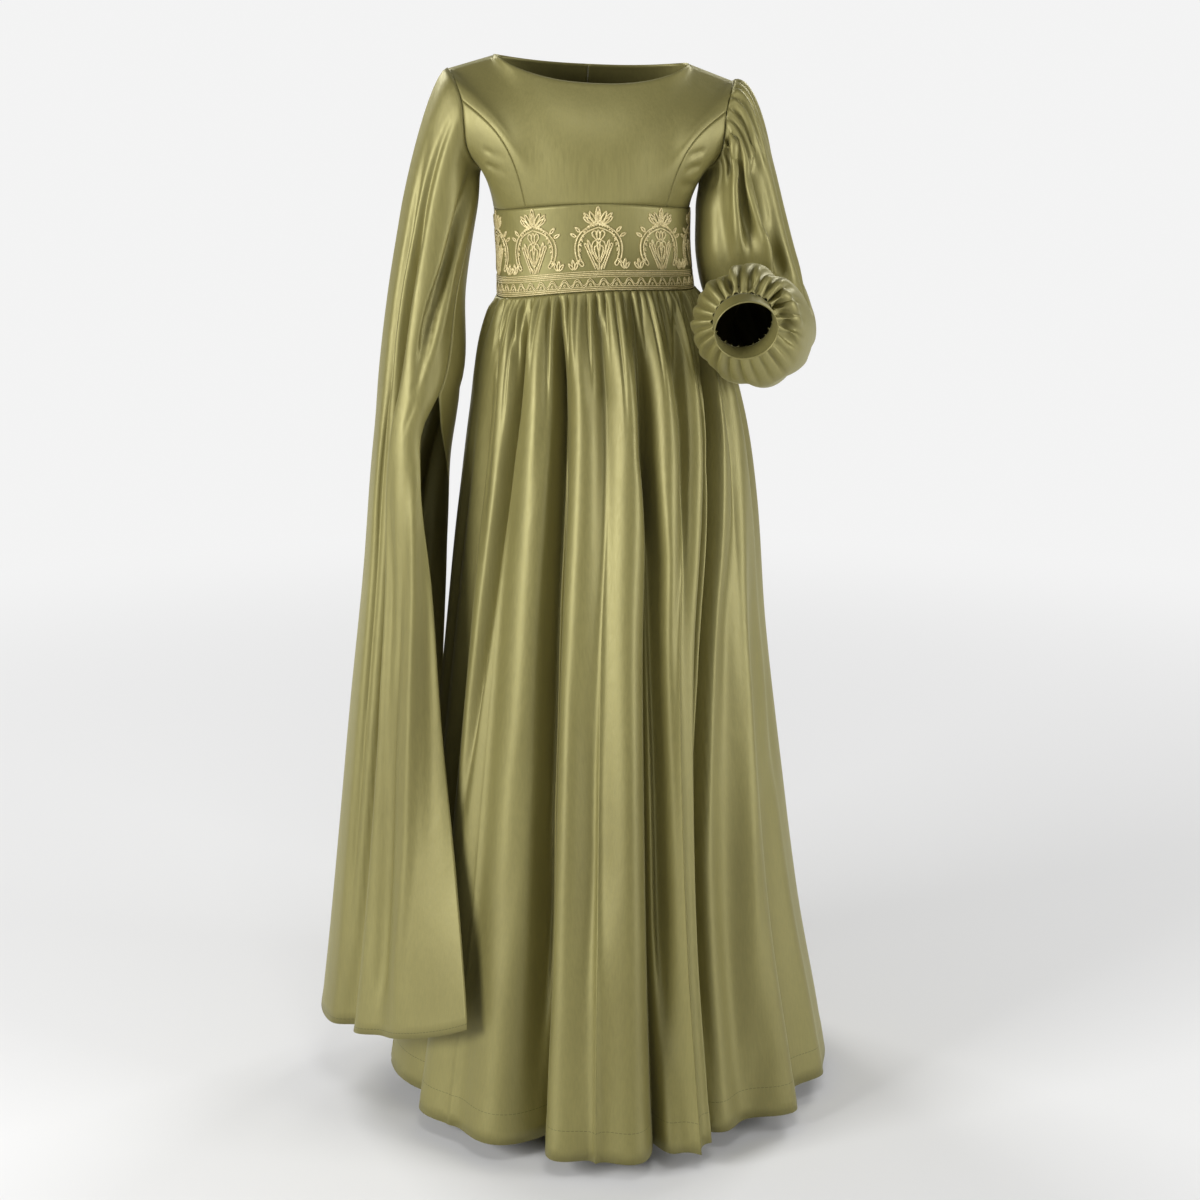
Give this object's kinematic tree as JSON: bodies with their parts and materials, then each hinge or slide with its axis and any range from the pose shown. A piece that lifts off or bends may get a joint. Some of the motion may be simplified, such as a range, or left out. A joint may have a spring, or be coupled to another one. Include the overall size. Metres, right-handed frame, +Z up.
{
  "type": "embroidered maxi dress",
  "caption": "Floor-length satin dress with an embroidered waistband, gathered skirt, a puffed gathered sleeve and a long open hanging sleeve.",
  "frame": {"origin": "midway between the wearer's shoulders, just under the shoulder seams, where the wearer holds the dress", "axes": "+Z up; the wearer faces -Y; +X towards the wearer's left, which is the viewer's right from the front"},
  "size_m": [0.7509, 0.6969, 1.4659],
  "materials": {
    "satin": "satin weave, soft sheen",
    "waistband": "satin weave with gold cord embroidery"
  },
  "bodies": {
    "root": {"bodice_front_centre": "satin", "bodice_side_front_right": "satin", "bodice_side_front_left": "satin", "bodice_back_right": "satin", "bodice_back_left": "satin", "waistband_front": "waistband", "waistband_back_right": "waistband", "waistband_back_left": "waistband", "skirt_front": "satin", "skirt_back_right": "satin", "skirt_back_left": "satin", "long_sleeve_front": "satin", "long_sleeve_back": "satin", "full_sleeve": "satin", "cuff_left": "satin"}
  },
  "joints": []
}
